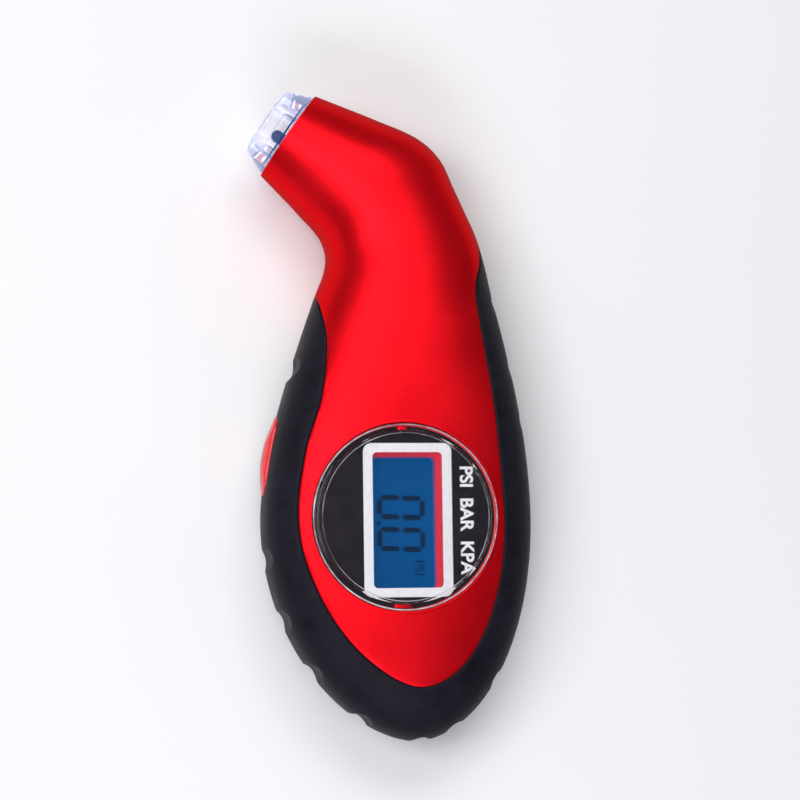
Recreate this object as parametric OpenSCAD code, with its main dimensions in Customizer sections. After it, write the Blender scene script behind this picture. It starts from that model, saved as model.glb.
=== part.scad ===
// Digital tire pressure gauge: a two-part painted housing with a bent head,
// a rubber grip round the handle, a round display lens with an LCD behind it,
// a lit clear nozzle that takes a tire valve, and the parts inside.
//
// Frame: X across the handle, Y from the tail to the head, Z out of the display.
// The origin is under the middle of the display lens, on the flat of the back.

/* [Housing] */
// Length of the body from the tail to the corner of the head
body_length = 129; // [122:1:160]
// Width of the handle at its widest line
body_width = 54.4; // [53:0.2:66]
// Height of the front above the parting plane
front_height = 15; // [15:0.5:18]
// Depth of the back below the parting plane
back_depth = 13; // [13:0.5:16]
// Wall thickness of both housings
wall = 2.2; // [1.8:0.1:2.6]
// Diameter of the round end of the head
head_d = 19.8; // [19.4:0.2:24]
// Direction the nozzle points in, from +X
head_angle = 145.3; // [142:0.5:148]
// Thickness of the rubber grip
grip_t = 2; // [1.6:0.1:2.4]

/* [Display] */
// Diameter of the clear lens
lens_d = 37; // [34:0.5:38]
// Thickness of the clear lens
lens_t = 2; // [1.6:0.1:2.4]
// Width of the opening in the face plate
window_w = 13.9; // [12:0.1:15]
// Length of the opening in the face plate
window_l = 27.3; // [24:0.1:28]
// Thickness of each pane of the LCD
glass_t = 1.1; // [0.9:0.05:1.2]

/* [Nozzle] */
// Radius of the bore that slips over the tire valve
valve_bore_r = 4.25; // [4:0.05:4.3]
// Length of the valve bore, from the seal to the mouth
valve_bore_l = 5.6; // [5:0.1:7]
// Diameter of the nozzle face
nozzle_face_d = 14.8; // [14:0.1:16]

/* [Controls] */
// Length of the push button along the side
button_l = 16; // [13:0.5:20]
// Width of the push button
button_w = 7.4; // [6:0.2:8.6]
// How far the middle of the button stands out of the grip
button_out = 1.3; // [0.8:0.1:2.4]

/* [Battery] */
// Diameter of the coin cell
cell_d = 20; // [16:0.5:21]
// Thickness of the coin cell
cell_t = 3.2; // [2:0.1:3.9]

/* [Fits] */
// Gap round parts that move
gap = 0.3; // [0.3:0.02:0.4]
// Gap round parts that are held still
fit = 0.05; // [0.03:0.01:0.1]

/* [Hidden] */
part_z = back_depth;
half_w = body_width / 2;
tail_l = 0.344 * body_length;
tail_lean = 0.121 * half_w;
head_x = -0.776 * half_w;
head_y = 0.612 * body_length;
steps = 2;

// Display stack, from the lens down to the board
lens_top = part_z + front_height - 0.2;
lens_r = lens_d / 2;
pocket_z = lens_top - lens_t - 0.3;
floor_z = pocket_z - 1.8;
label_t = 0.25;
label_r = lens_r - 0.5;
window_x = 0.6;
window_y = -0.8;
frame_w = window_w + 8.2;
frame_l = window_l + 8;
frame_top = floor_z - 2.2;
board_t = 1.2;
board_top = frame_top - 5;
board_z = board_top - board_t;
board_w = 0.62 * body_width;
board_l = 0.4 * body_length;
board_y = 0.018 * body_length;
zebra_x = window_w / 2 + 2.05;
board_screw_x = board_w / 2 - 2.6;
board_screw_y = board_l / 2 - 2.6;

// Battery bay and its door
bay_y = 0.109 * body_length;
cell_r = cell_d / 2;
door_r = cell_r + 1.9;
door_t = 1.7;
door_z = 0.2;
ledge_z = 2.4;
groove_h = 1.3;
lug_r = cell_r + 1.3;
lug_turn = 30;
lug_half = 11;
cell_z = ledge_z + groove_h + 0.25;
bay_top = cell_z + cell_t + 0.5;

// Button on the left side
button_y = 0.101 * body_length;
button_x = -0.945 * half_w;
button_lean = 10;
button_in = grip_t + wall + 1;
switch_x = window_x - board_w / 2;
switch_y = button_y - (switch_x - button_x) * tan(button_lean);
switch_w = 6;
switch_h = 3.4;
switch_z = part_z - switch_h / 2;

// Nozzle and the parts behind it, measured along the nozzle axis
nozzle_base_r = head_d / 2 - 0.5;
spigot_r = head_d / 2 - 1.65;
spigot_l = 9;
seat_r = valve_bore_r + 0.7;
seal_t = 2.6;
led_r = 1.25;
led_at = (seat_r + spigot_r) / 2;
led_angles = [65, 155, 245];
flange_r = spigot_r - 0.5;
sensor_at = -20;
wire_pitch = 1.1;
wire_r = 0.45;
wire_bend = 8;
wire_z = board_z - 1.65;

// Heading of the wires as they leave the sensor board, and where they turn
wire_turn = head_angle - 90;
wire_start_x = head_x + 20.55 * cos(head_angle + 180);
wire_start_y = head_y + 20.55 * sin(head_angle + 180);
wire_lead = 1.6;
turn_x = wire_start_x + wire_lead * cos(head_angle + 180) - wire_bend * sin(head_angle);
turn_y = wire_start_y + wire_lead * sin(head_angle + 180) + wire_bend * cos(head_angle);

// Housing screws, as places on the back
screw_shaft_r = 1.1;
screw_head_r = 2;
boss_r = 3;
SCREW_AT = [
    [0.055 * half_w, -0.225 * body_length],
    [-0.46 * half_w, 0.262 * body_length],
    [0.43 * half_w, 0.262 * body_length],
    [0.235 * half_w, 0.543 * body_length]
];
seat_z = 3.2;

// Cross sections from the head to the widest line of the handle:
// left edge and right edge as shares of half the width and of the length,
// front and back height as shares, and how square the section is
SECTIONS = [
    [-0.983, 0.549, -0.569, 0.675, 0.660, 0.762, 2.00],
    [-0.868, 0.524, -0.129, 0.639, 0.753, 0.862, 2.05],
    [-0.779, 0.505, 0.199, 0.609, 0.813, 0.923, 2.10],
    [-0.691, 0.485, 0.375, 0.574, 0.840, 0.946, 2.15],
    [-0.596, 0.464, 0.478, 0.527, 0.847, 0.954, 2.20],
    [-0.533, 0.445, 0.559, 0.488, 0.853, 0.962, 2.25],
    [-0.500, 0.420, 0.640, 0.448, 0.860, 0.969, 2.30],
    [-0.518, 0.391, 0.699, 0.403, 0.873, 0.977, 2.40],
    [-0.588, 0.353, 0.746, 0.355, 0.900, 0.992, 2.50],
    [-0.710, 0.278, 0.827, 0.279, 0.947, 1.015, 2.80],
    [-0.842, 0.190, 0.912, 0.190, 0.987, 1.038, 3.10],
    [-0.945, 0.101, 0.974, 0.101, 1.000, 1.046, 3.30],
    [-1.000, 0.000, 1.000, 0.000, 1.000, 1.046, 3.40],
    [-0.943, -0.104, 0.965, -0.104, 1.000, 1.046, 3.40]
];
WIDEST = 12;
TURN = 6;
LAST = 2 * WIDEST + TURN;

// Inner edge of the rubber grip as a share of the half section,
// one value for each section from the left tip round the tail to the right tip
GRIP_FIRST = 8;
GRIP_EDGE = [
    [1], [0.795], [0.72], [0.767], [0.78], [0.742], [0.735], [0.755], [0.76],
    [0.748], [0.737], [0.722], [0.722], [0.714], [0.734], [0.88], [1]
];
GRIP_LAST = GRIP_FIRST + len(GRIP_EDGE) - 1;

// Places round the edge where the grip has a thumb notch
NOTCH_AT = [9.4, 12.32, 12.86, 13.41, 14.1, 15.07, 15.7, 16.5, 19.6, 20.57, 21.86];
notch_r = 3.4;
notch_depth = 0.9;

$fn = 48;

// ---------- shape of the body ----------

function spline(rows, t) =
    let (i = min(floor(t), len(rows) - 2), f = t - i,
         a = rows[max(i - 1, 0)], b = rows[i], c = rows[i + 1], d = rows[min(i + 2, len(rows) - 1)])
    0.5 * (2 * b + (c - a) * f + (2 * a - 5 * b + 4 * c - d) * f * f + (3 * b - a - 3 * c + d) * f * f * f);

function tail_point(a) =
    [tail_lean * pow(sin(a), 2) - half_w * sign(cos(a)) * pow(abs(cos(a)), 1.12), -tail_l * sin(a)];

function station_ray(s, right) =
    let (l = [s[0] * half_w, s[1] * body_length], r = [s[2] * half_w, s[3] * body_length])
    [(l + r) / 2, right ? r : l, s[4] * front_height, s[5] * back_depth, s[6]];

// A ray runs from the spine of the body to a point on its outline. Rays are
// numbered from the left of the head, round the tail, to the right of the head.
function ray(q) =
    q <= WIDEST ? station_ray(spline(SECTIONS, q), false) :
    q >= WIDEST + TURN ? station_ray(spline(SECTIONS, LAST - q), true) :
    [[0, 0], tail_point((q - WIDEST) * 180 / TURN), front_height, 1.046 * back_depth, 3.4];

// Angle in the section at which the grip begins on a ray
function has_grip(q) = q > GRIP_FIRST + 0.01 && q < GRIP_LAST - 0.01;
function grip_share(q) = has_grip(q) ? min(spline(GRIP_EDGE, q - GRIP_FIRST)[0], 0.97) : 1;
function grip_angle(q) = asin(pow(grip_share(q), ray(q)[4] / 2));

// Point on the skin: t runs from 0 on the spine to 90 on the outline,
// side is 1 on the front and -1 on the back, depth is below the surface
function skin(q, t, depth, side) =
    let (r = ray(q), v = r[1] - r[0], e = 2 / r[4],
         xy = r[0] + v * (1 - depth / norm(v)) * pow(sin(t), e),
         h = (side > 0 ? r[2] : r[3]) - depth,
         z = part_z + side * h * pow(max(cos(t), 0), e))
    [xy[0], xy[1], side > 0 ? z : max(z, depth)];

function smooth(x) = let (u = min(max(x, 0), 1)) u * u * (3 - 2 * u);

RAYS = [
    for (i = [0 : WIDEST * steps]) i / steps,
    for (i = [1 : TURN * 3 - 1]) WIDEST + i / 3,
    for (i = [0 : WIDEST * steps]) WIDEST + TURN + i / steps
];
ROWS = len(RAYS);
SPINE_END = WIDEST * steps;

// One row of a housing half: over the panel, down the step under the grip,
// to the parting plane and back along the inside
OUTER_N = 10;
UNDER_N = 6;
INNER_N = 7;
ROW_N = OUTER_N + UNDER_N + INNER_N + 3;

function housing_row(q, side) =
    let (tp = grip_angle(q), g = has_grip(q) ? grip_t : 0)
    [
        for (k = [0 : OUTER_N]) skin(q, tp * k / OUTER_N, 0, side),
        for (k = [0 : UNDER_N]) skin(q, tp + (90 - tp) * k / UNDER_N, g, side),
        for (k = [0 : INNER_N]) let (t = 90 - 90 * k / INNER_N)
            skin(q, t, wall + g * smooth((t - tp + 25) / 20), side)
    ];

// Rows left of the spine and right of it share their spine points, and rows
// without a grip close the step up into the edge of the panel
function mirror_row(i) = i <= SPINE_END ? i : i >= ROWS - 1 - SPINE_END ? ROWS - 1 - i : SPINE_END;
function row_id(i, j) =
    (j == 0 || j == ROW_N - 1) ? mirror_row(i) * ROW_N + j :
    (j > OUTER_N && j <= OUTER_N + UNDER_N + 1 && !has_grip(RAYS[i])) ? i * ROW_N + OUTER_N :
    i * ROW_N + j;

function tri(a, b, c, flip) = (a == b || b == c || a == c) ? [] : flip ? [[a, c, b]] : [[a, b, c]];

module housing_shell(side) {
    flip = side > 0;
    pts = [for (q = RAYS) each housing_row(q, side)];
    sides = [
        for (i = [0 : ROWS - 2]) for (j = [0 : ROW_N - 2])
            let (a = row_id(i, j), b = row_id(i, j + 1), c = row_id(i + 1, j + 1), d = row_id(i + 1, j))
            each concat(tri(a, b, c, flip), tri(a, c, d, flip))
    ];
    ends = [
        for (i = [0, ROWS - 1]) for (j = [0 : OUTER_N - 1])
            let (turn = (i == 0) == flip, o = ROW_N - 1,
                 ka = o - floor(j * INNER_N / OUTER_N), kb = o - floor((j + 1) * INNER_N / OUTER_N),
                 a = row_id(i, j), b = row_id(i, j + 1), c = row_id(i, kb), d = row_id(i, ka))
            each concat(tri(a, c, b, turn), tri(a, d, c, turn))
    ];
    polyhedron(pts, concat(sides, ends), convexity = 8);
}

// The grip is a strip that runs round the edge and wraps over both sides,
// and comes to a point at each end
GRIP_RAYS = [
    for (i = [1 : (WIDEST - GRIP_FIRST) * steps]) GRIP_FIRST + i / steps,
    for (i = [1 : TURN * 3 - 1]) WIDEST + i / 3,
    for (i = [0 : (GRIP_LAST - WIDEST - TURN) * steps - 1]) WIDEST + TURN + i / steps
];
GRIP_N = UNDER_N;
GRIP_ROW = 4 * GRIP_N + 2;

function grip_point(q, k, depth) =
    let (u = abs(GRIP_N - k) / GRIP_N, tp = grip_angle(q), seam = u == 1 ? 0.7 : 0)
    skin(q, 90 - (90 - tp) * u + seam, depth, k <= GRIP_N ? 1 : -1);

function grip_row(q) = [
    for (k = [0 : 2 * GRIP_N]) grip_point(q, k, 0),
    for (k = [2 * GRIP_N : -1 : 0]) grip_point(q, k, grip_t - fit)
];

module grip_strip() {
    n = len(GRIP_RAYS);
    m = GRIP_ROW;
    tips = [skin(GRIP_FIRST + 0.08, 90, 0, 1), skin(GRIP_LAST - 0.08, 90, 0, 1)];
    pts = [for (q = GRIP_RAYS) each grip_row(q), each tips];
    sides = [
        for (i = [0 : n - 2]) for (j = [0 : m - 1])
            let (j2 = (j + 1) % m, a = i * m + j, b = i * m + j2, c = b + m, d = a + m)
            each j <= 3 * GRIP_N ? [[a, b, c], [a, c, d]] : [[a, b, d], [b, c, d]]
    ];
    ends = [
        for (j = [0 : m - 1])
            let (j2 = (j + 1) % m, e = (n - 1) * m)
            each [[j2, j, n * m], [e + j, e + j2, n * m + 1]]
    ];
    polyhedron(pts, concat(sides, ends), convexity = 8);
}

// ---------- shared helpers ----------

// Local frame of the nozzle: z outward from the end of the head
module at_nozzle() {
    translate([head_x, head_y, part_z]) rotate([0, 0, head_angle]) rotate([0, 90, 0]) children();
}

module tube(r_out, r_in, h) {
    difference() {
        cylinder(r = r_out, h = h);
        translate([0, 0, -1]) cylinder(r = r_in, h = h + 2);
    }
}

module rounded_plate(w, l, h, r) {
    linear_extrude(h) offset(r) square([w - 2 * r, l - 2 * r], center = true);
}

module slot_plate(w, l, h, r) {
    for (s = [-1, 1]) {
        translate([s * (w / 2 - r), 0, h / 2]) cube([2 * r, l - 2 * r, h], center = true);
        for (t = [-1, 1])
            translate([s * (w / 2 - r), t * (l / 2 - r), 0]) cylinder(r = r, h = h);
    }
    translate([0, 0, h / 2]) cube([w - 2 * r, l, h], center = true);
}

module over_parting() {
    translate([-150, -150, part_z]) cube([300, 300, 60]);
}

module at_screws() {
    for (p = SCREW_AT) translate([p[0], p[1], 0]) children();
}

module at_board_screws() {
    for (sx = [-1, 1]) for (sy = [-1, 1])
        translate([window_x + sx * board_screw_x, board_y + sy * board_screw_y, 0]) children();
}

// Local frame of the push button: X points into the handle
module at_button() {
    translate([button_x, button_y, part_z]) rotate([0, 0, -button_lean]) children();
}

// Round-ended prism of the push button, along its travel
module button_prism(grow, x0, x1) {
    l = button_l + 2 * grow;
    w = button_w + 2 * grow;
    at_button() translate([x0, 0, 0]) rotate([0, 90, 0]) {
        for (s = [-1, 1]) translate([0, s * (l - w) / 2, 0]) cylinder(d = w, h = x1 - x0);
        translate([-w / 2, -(l - w) / 2, 0]) cube([w, l - w, x1 - x0]);
    }
}

// ---------- housings ----------

module head_socket() {
    at_nozzle() translate([0, 0, -spigot_l - 0.3]) cylinder(r = spigot_r + fit, h = spigot_l + 5);
}

module manifold_rib() {
    at_nozzle() translate([0, 0, -13.4])
        difference() {
            union() {
                cylinder(r = head_d / 2 + 0.6, h = 1.8);
                translate([-4, -head_d / 2 - 1.5, 0]) cube([8, head_d + 3, 1.8]);
            }
            translate([0, 0, -1]) cylinder(r = flange_r - 0.6, h = 4);
        }
}

module button_slot() {
    button_prism(gap, -8, button_in + 0.6);
}

module front_housing() {
    color([0.78, 0.04, 0.07])
    difference() {
        union() {
            housing_shell(1);
            translate([0, 0, floor_z]) cylinder(r1 = lens_r - 0.6, r2 = lens_r + 1.2, h = 2.4, $fn = 96);
            translate([window_x, window_y, frame_top + 0.1])
                slot_plate(window_w + 3, window_l + 3, 3, 1.5);
            at_screws() translate([0, 0, part_z]) cylinder(r = boss_r - 0.2, h = 0.6 * front_height);
            at_board_screws() translate([0, 0, board_top]) cylinder(r = 2.1, h = 7.2);
            intersection() {
                manifold_rib();
                over_parting();
            }
        }
        translate([0, 0, pocket_z]) cylinder(r = lens_r + fit, h = 6, $fn = 96);
        translate([window_x, window_y, frame_top - 1])
            slot_plate(window_w + 0.6, window_l + 0.6, 8, 1);
        at_screws() translate([0, 0, part_z - 1]) cylinder(r = screw_shaft_r + fit, h = 8.5);
        at_board_screws() translate([0, 0, board_top - 1]) cylinder(r = 0.85 + fit, h = 5.5);
        head_socket();
        button_slot();
    }
}

module bayonet_notches() {
    for (i = [0 : 2])
        rotate([0, 0, 120 * i - lug_turn])
            intersection() {
                cylinder(r = lug_r + gap - 0.1, h = ledge_z + 0.1);
                rotate([0, 0, -lug_half - 3]) cube([30, 30, 20]);
                rotate([0, 0, lug_half + 3 - 90]) cube([30, 30, 20]);
            }
}

module rear_housing() {
    color([0.74, 0.04, 0.06])
    difference() {
        union() {
            housing_shell(-1);
            translate([0, bay_y, 1]) cylinder(r = door_r + 2, h = ledge_z + groove_h, $fn = 72);
            translate([0, bay_y, 1]) cylinder(r = cell_r + 1.8, h = bay_top - 1, $fn = 72);
            at_screws() translate([0, 0, 1]) cylinder(r = boss_r, h = part_z - 1);
            difference() {
                manifold_rib();
                over_parting();
            }
        }
        translate([0, bay_y, -1]) {
            cylinder(r = door_r + gap, h = 1 + door_z + door_t + 0.15, $fn = 72);
            cylinder(r = cell_r + 0.4, h = bay_top + 2, $fn = 72);
            translate([0, 0, 1 + ledge_z]) cylinder(r = lug_r + gap, h = groove_h, $fn = 72);
            translate([0, 0, 1.5]) bayonet_notches();
        }
        at_screws() {
            translate([0, 0, -1]) cylinder(r = screw_head_r + 0.2, h = 1 + seat_z);
            cylinder(r = screw_shaft_r + fit, h = part_z + 1);
        }
        head_socket();
        button_slot();
    }
}

module rubber_grip() {
    color([0.07, 0.07, 0.08])
    difference() {
        grip_strip();
        for (q = NOTCH_AT) {
            r = ray(q);
            u = (r[1] - r[0]) / norm(r[1] - r[0]);
            c = r[1] + (notch_r - notch_depth) * u;
            translate([c[0], c[1], part_z - 9]) cylinder(r = notch_r, h = 18, $fn = 32);
        }
        button_slot();
    }
}

module housing_screws() {
    color([0.5, 0.5, 0.53])
    at_screws() {
        difference() {
            translate([0, 0, seat_z - 1.4]) cylinder(r = screw_head_r, h = 1.4);
            for (a = [0, 90]) rotate([0, 0, a])
                translate([-1.2, -0.25, seat_z - 2]) cube([2.4, 0.5, 1.4]);
        }
        translate([0, 0, seat_z]) cylinder(r = screw_shaft_r, h = part_z + 6 - seat_z);
    }
}

// ---------- display ----------

module display_lens() {
    color([0.85, 0.9, 0.95, 0.35])
    translate([0, 0, lens_top - lens_t])
        rotate_extrude($fn = 96)
            polygon([
                [0, 0.3], [label_r, 0.3], [label_r, 0], [lens_r, 0],
                [lens_r, lens_t - 0.5], [lens_r - 0.5, lens_t], [0, lens_t]
            ]);
}

module face_label() {
    color([0.03, 0.03, 0.035])
    difference() {
        translate([0, 0, pocket_z + 0.02]) cylinder(r = label_r, h = label_t, $fn = 96);
        translate([window_x, window_y, pocket_z - 1]) slot_plate(window_w, window_l, 3, 1);
    }
}

module lcd_frame() {
    color([0.93, 0.93, 0.92])
    translate([window_x, window_y, board_top + fit])
        difference() {
            slot_plate(frame_w, frame_l, frame_top - board_top - 2 * fit, 1);
            translate([0, 0, -1]) slot_plate(frame_w - 2.4, frame_l - 2.4, 20, 0.3);
        }
}

module lcd_front_glass() {
    color([0.35, 0.55, 0.75, 0.6])
    translate([window_x, window_y, frame_top - 0.1 - glass_t / 2])
        cube([frame_w - 2.6, frame_l - 2.6, glass_t], center = true);
}

module lcd_rear_glass() {
    color([0.1, 0.35, 0.6])
    translate([window_x, window_y, frame_top - 0.15 - 1.5 * glass_t])
        cube([2 * zebra_x - 2.2, frame_l - 2.6, glass_t], center = true);
}

module zebra_strips() {
    h = frame_top - 0.15 - glass_t - board_top - fit;
    color([0.2, 0.2, 0.22])
    for (s = [-1, 1])
        translate([window_x + s * zebra_x, window_y, board_top + fit + h / 2])
            cube([1.7, frame_l - 5, h], center = true);
}

module backlight_panel() {
    h = frame_top - 0.25 - 2 * glass_t - board_top - fit;
    color([0.3, 0.55, 0.95])
    translate([window_x, window_y, board_top + fit + h / 2])
        cube([2 * zebra_x - 2.2, frame_l - 3, h], center = true);
}

// ---------- electronics ----------

module main_board() {
    color([0.08, 0.35, 0.16])
    difference() {
        translate([window_x, board_y, board_z]) slot_plate(board_w, board_l, board_t, 3);
        at_board_screws() translate([0, 0, board_z - 1]) cylinder(r = 1.05, h = board_t + 2);
    }
}

module board_screws() {
    color([0.6, 0.6, 0.62])
    at_board_screws() {
        translate([0, 0, board_z - 1.2]) cylinder(r = 1.6, h = 1.2 - fit);
        translate([0, 0, board_z - 0.6]) cylinder(r = 0.85, h = board_t + 4);
    }
}

module controller_chip() {
    color([0.05, 0.05, 0.05])
    translate([window_x + 5, board_y - 12, board_z - fit])
        rotate_extrude()
            polygon([[0, -1.5], [2.4, -1.4], [4, -1], [5, 0], [0, 0]]);
}

module board_components() {
    color([0.25, 0.2, 0.15])
    for (i = [0 : 3]) for (j = [0, 1])
        translate([window_x - 9 + 2.6 * i, board_y - 15 + 3.4 * j, board_z - 0.4 - fit])
            cube([1, 2, 0.8], center = true);
}

module wire_connector() {
    color([0.9, 0.87, 0.78])
    translate([turn_x + wire_bend, board_y + board_l / 2 - 3.2, board_z - fit - 1.6])
        difference() {
            cube([7, 5, 3.2], center = true);
            for (i = [-1.5 : 1.5])
                translate([i * wire_pitch, 1, fit - 0.1]) rotate([-90, 0, 0]) cylinder(r = wire_r + fit, h = 4, $fn = 24);
        }
}

module side_switch() {
    color([0.12, 0.12, 0.13])
    translate([switch_x + 0.4, switch_y, switch_z]) {
        difference() {
            translate([0, -switch_w / 2, 0]) cube([3.4, switch_w, switch_h]);
            translate([-1, 0, switch_h / 2]) rotate([0, 90, 0]) cylinder(r = 1.3 + fit, h = 3.2);
        }
        for (s = [-1, 1])
            translate([1.2, s * 1.8 - 0.3, switch_h]) cube([1, 0.6, board_z - switch_z - switch_h - fit]);
    }
}

module switch_plunger() {
    color([0.75, 0.72, 0.65])
    translate([switch_x - 1.1, switch_y, switch_z + switch_h / 2])
        rotate([0, 90, 0]) cylinder(r = 1.3, h = 2.6);
}

module power_button() {
    stem_end = (switch_x - 1.4 - gap - button_x) / cos(button_lean);
    dome_r = (pow(button_l / 2, 2) + pow(button_out, 2)) / (2 * button_out);
    color([0.85, 0.08, 0.1]) {
        intersection() {
            button_prism(0, -6, button_in + 0.4);
            at_button() translate([dome_r - button_out, 0, 0]) sphere(r = dome_r, $fn = 96);
        }
        button_prism(1.1, button_in, button_in + 1);
        at_button() translate([button_in + 0.5, 0, 0]) rotate([0, 90, 0])
            cylinder(r = 1.8, h = stem_end - button_in - 0.5);
    }
}

// ---------- battery ----------

module coin_cell() {
    color([0.8, 0.8, 0.82])
    translate([0, bay_y, cell_z])
        rotate_extrude($fn = 72)
            polygon([
                [0, 0], [cell_r - 0.4, 0], [cell_r, 0.4], [cell_r, cell_t - 0.7],
                [cell_r - 1.2, cell_t - 0.4], [cell_r - 1.4, cell_t], [0, cell_t]
            ]);
}

module battery_contact_positive() {
    color([0.85, 0.8, 0.6])
    translate([cell_r + 1.8, bay_y + 3, bay_top - 2.4]) {
        cube([0.3, 4, board_z - bay_top + 2.4 - fit]);
        translate([0, 0, 2.6]) rotate([0, 0, 180]) translate([-0.3, -4, 0]) cube([1.9, 4, 0.3]);
    }
}

module battery_contact_negative() {
    z = cell_z + cell_t + fit;
    color([0.85, 0.8, 0.6])
    translate([0, bay_y, z]) {
        cylinder(r = 3, h = 0.3);
        translate([-1.5, -3, 0]) cube([3, 6, 0.3]);
        translate([-1.5, 2.7, 0]) cube([3, 0.3, board_z - z - fit]);
    }
}

module battery_door() {
    color([0.09, 0.09, 0.1])
    translate([0, bay_y, door_z])
        difference() {
            union() {
                cylinder(r = door_r, h = door_t, $fn = 72);
                translate([0, 0, door_t - 0.1]) tube(cell_r + 0.1, cell_r - 1.4, ledge_z + groove_h - door_t - 0.3);
                for (i = [0 : 2]) rotate([0, 0, 120 * i])
                    intersection() {
                        translate([0, 0, ledge_z + gap - door_z]) tube(lug_r, cell_r - 1, groove_h - 2 * gap);
                        rotate([0, 0, -lug_half]) cube([30, 30, 20]);
                        rotate([0, 0, lug_half - 90]) cube([30, 30, 20]);
                    }
            }
            translate([-6, -0.8, -1]) cube([12, 1.6, 1.9]);
        }
}

// ---------- nozzle and pressure parts ----------

module nozzle_tip() {
    face_r = nozzle_face_d / 2;
    color([0.9, 0.93, 0.97, 0.4])
    at_nozzle()
        difference() {
            rotate_extrude($fn = 72)
                polygon([
                    [valve_bore_r, 0], [seat_r + fit, 0], [seat_r + fit, -spigot_l], [spigot_r, -spigot_l],
                    [spigot_r, 0.1], [nozzle_base_r, 0.1], [nozzle_base_r, 0.6],
                    [face_r, valve_bore_l - 0.5], [face_r - 0.5, valve_bore_l], [valve_bore_r, valve_bore_l]
                ]);
            for (a = led_angles) rotate([0, 0, a])
                translate([led_at, 0, -spigot_l - 1]) cylinder(r = led_r + fit, h = spigot_l + 4.1, $fn = 24);
        }
}

module valve_seal() {
    color([0.1, 0.1, 0.1])
    at_nozzle() translate([0, 0, -seal_t])
        rotate_extrude()
            polygon([[2.1, 0], [seat_r, 0], [seat_r, seal_t - fit], [2.5, seal_t - fit], [2.1, seal_t - 0.5]]);
}

module depressor_pin() {
    color([0.8, 0.68, 0.35])
    at_nozzle() {
        translate([0, 0, -8]) cylinder(r = 0.9, h = 7.8, $fn = 24);
        translate([0, 0, -8]) cylinder(r = 1.8, h = 3, $fn = 4);
    }
}

module sensor_manifold() {
    color([0.82, 0.82, 0.8])
    at_nozzle()
        difference() {
            rotate_extrude()
                polygon([
                    [1.9, -16], [5, -16], [5, -11.5], [flange_r, -11.5], [flange_r, -spigot_l - 0.35],
                    [seat_r - 0.05, -spigot_l - 0.35], [seat_r - 0.05, -seal_t - fit], [1.9, -seal_t - fit]
                ]);
            translate([0, 0, -17]) cylinder(r = 2.9, h = 3);
            for (a = led_angles) rotate([0, 0, a])
                translate([led_at + 1, 0, -10]) cube([4, 2 * led_r, 4], center = true);
        }
}

module manifold_o_ring() {
    color([0.08, 0.08, 0.08])
    at_nozzle() translate([0, 0, -14.9])
        rotate_extrude() translate([2.25, 0]) circle(r = 0.6, $fn = 24);
}

module pressure_sensor() {
    color([0.15, 0.15, 0.16])
    at_nozzle() {
        translate([0, 0, sensor_at + 1.95]) cube([7, 7, 2.5], center = true);
        difference() {
            translate([0, 0, sensor_at + 3.1]) cylinder(r = 1.6, h = 3.2, $fn = 32);
            translate([0, 0, sensor_at + 3.8]) cylinder(r = 0.6, h = 3.2, $fn = 24);
        }
    }
}

module sensor_board() {
    color([0.08, 0.35, 0.16])
    at_nozzle() translate([0, 0, sensor_at + 0.1]) cube([10, 11, 1], center = true);
}

module sensor_wires() {
    color([0.75, 0.15, 0.12])
    for (i = [-1.5 : 1.5]) {
        bend = wire_bend + i * wire_pitch;
        translate([turn_x, turn_y, wire_z]) {
            rotate_extrude(angle = wire_turn, $fn = 48)
                translate([bend, 0]) circle(r = wire_r, $fn = 16);
            rotate([0, 0, wire_turn]) translate([bend, -0.3, 0]) rotate([-90, 0, 0])
                cylinder(r = wire_r - 0.03, h = wire_lead + 0.3, $fn = 16);
            translate([bend, 0.3, 0]) rotate([90, 0, 0])
                cylinder(r = wire_r - 0.03, h = turn_y - board_y - board_l / 2 + 2.3, $fn = 16);
        }
    }
}

module nozzle_leds() {
    color([0.15, 0.3, 0.9])
    at_nozzle()
        for (a = led_angles) rotate([0, 0, a]) translate([led_at, 0, 0]) {
            translate([0, 0, -3]) cylinder(r = led_r, h = 4.5, $fn = 24);
            translate([0, 0, 1.5]) sphere(r = led_r, $fn = 24);
        }
}

module led_wires() {
    color([0.85, 0.82, 0.3])
    at_nozzle()
        for (a = led_angles) rotate([0, 0, a]) for (s = [-1, 1])
            translate([led_at, s * 0.6, sensor_at + 0.6]) cylinder(r = 0.3, h = -sensor_at - 3.6, $fn = 16);
}

// ---------- output ----------

front_housing();
rear_housing();
rubber_grip();
housing_screws();
display_lens();
face_label();
lcd_frame();
lcd_front_glass();
lcd_rear_glass();
zebra_strips();
backlight_panel();
main_board();
board_screws();
controller_chip();
board_components();
wire_connector();
side_switch();
switch_plunger();
power_button();
coin_cell();
battery_contact_positive();
battery_contact_negative();
battery_door();
nozzle_tip();
valve_seal();
depressor_pin();
sensor_manifold();
manifold_o_ring();
pressure_sensor();
sensor_board();
sensor_wires();
nozzle_leds();
led_wires();
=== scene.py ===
# Digital tire pressure gauge: the looks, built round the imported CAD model.
# Shapes are worked out in millimetres in the CAD frame and scaled to metres.
import math

import bmesh
import bpy
import numpy as np
from mathutils import Matrix, Vector
from mathutils.bvhtree import BVHTree


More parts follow.
